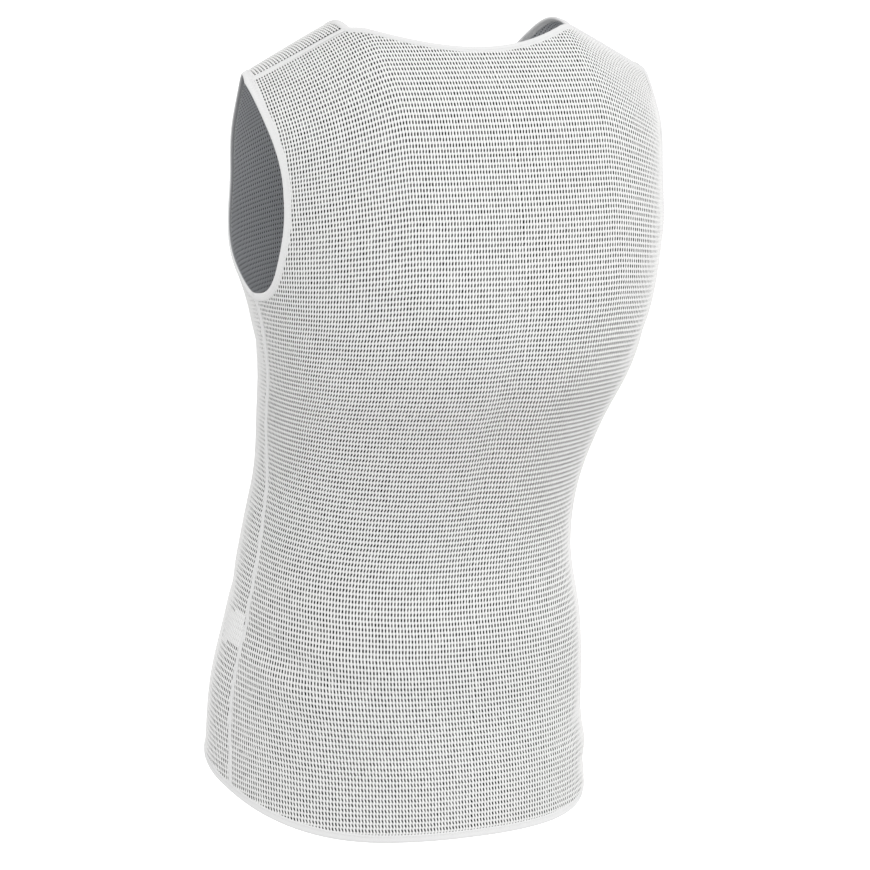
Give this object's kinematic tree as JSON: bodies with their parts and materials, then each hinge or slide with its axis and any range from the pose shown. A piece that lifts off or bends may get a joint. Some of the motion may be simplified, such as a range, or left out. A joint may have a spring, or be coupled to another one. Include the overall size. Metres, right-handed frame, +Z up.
{
  "type": "sleeveless base layer",
  "caption": "Close-fitting sleeveless base layer of open mesh knit in its worn, hollow form, with a crew neck, bound edges, a longer back hem and a blank care label.",
  "frame": {"origin": "midway between the two neck points, on the line of the shoulders, where the wearer's shoulders hold the garment up", "axes": "+Z up, the garment's front faces -Y, the wearer's left is +X"},
  "size_m": [0.399, 0.3291, 0.6852],
  "materials": {
    "mesh_cloth": "matt white open mesh knit",
    "binding": "smooth white folded tape",
    "label": "smooth white blank tape"
  },
  "bodies": {
    "root": {"back_panel": "mesh_cloth", "front_panel": "mesh_cloth", "neck_binding": "binding", "left_armhole_binding": "binding", "right_armhole_binding": "binding", "hem_binding": "binding", "care_label": "label"}
  },
  "joints": []
}
